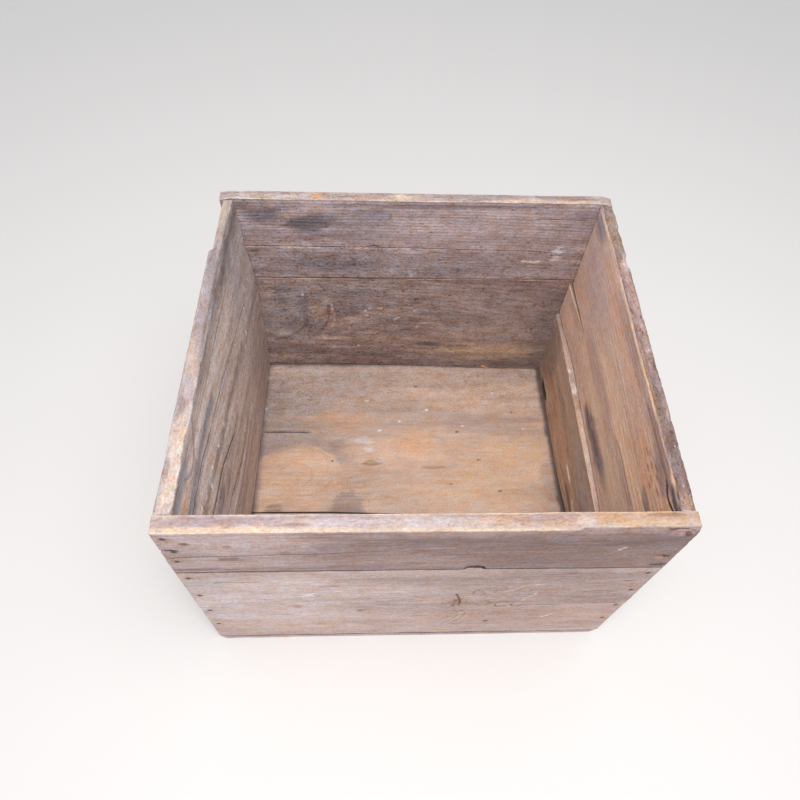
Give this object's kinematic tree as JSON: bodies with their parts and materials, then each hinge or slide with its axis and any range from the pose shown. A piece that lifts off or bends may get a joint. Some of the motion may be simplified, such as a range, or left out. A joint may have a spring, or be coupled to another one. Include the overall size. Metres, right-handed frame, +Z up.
{
  "type": "wooden crate",
  "caption": "Open-topped weathered wooden apple crate of thin butt-jointed boards, nailed at the corners and under the bottom.",
  "frame": {"origin": "on the ground under the middle of the crate", "axes": "+Z up, -Y towards the front boards, +X to the right seen from the front, along the long boards"},
  "size_m": [0.3906, 0.3558, 0.266],
  "materials": {
    "weathered_board": "weathered grey-brown, unfinished",
    "inside_board": "stained brown, unfinished",
    "bottom_board": "tan, worn smooth",
    "rusty_nail": "rusted"
  },
  "bodies": {
    "root": {"front_upper_board": "weathered_board", "front_lower_board": "weathered_board", "rear_upper_board": "inside_board", "rear_lower_board": "inside_board", "left_side_board": "weathered_board", "right_upper_board": "inside_board", "right_lower_board": "inside_board", "bottom_front_board": "bottom_board", "bottom_rear_board": "bottom_board", "nails_front_upper_left": "rusty_nail", "nails_front_upper_right": "rusty_nail", "nails_front_lower_left": "rusty_nail", "nails_front_lower_right": "rusty_nail", "nails_rear_upper_left": "rusty_nail", "nails_rear_upper_right": "rusty_nail", "nails_rear_lower_left": "rusty_nail", "nails_rear_lower_right": "rusty_nail", "nails_bottom_front_edge": "rusty_nail", "nails_bottom_rear_edge": "rusty_nail", "nails_bottom_front_left": "rusty_nail", "nails_bottom_front_right": "rusty_nail", "nails_bottom_rear_left": "rusty_nail", "nails_bottom_rear_right": "rusty_nail"}
  },
  "joints": []
}
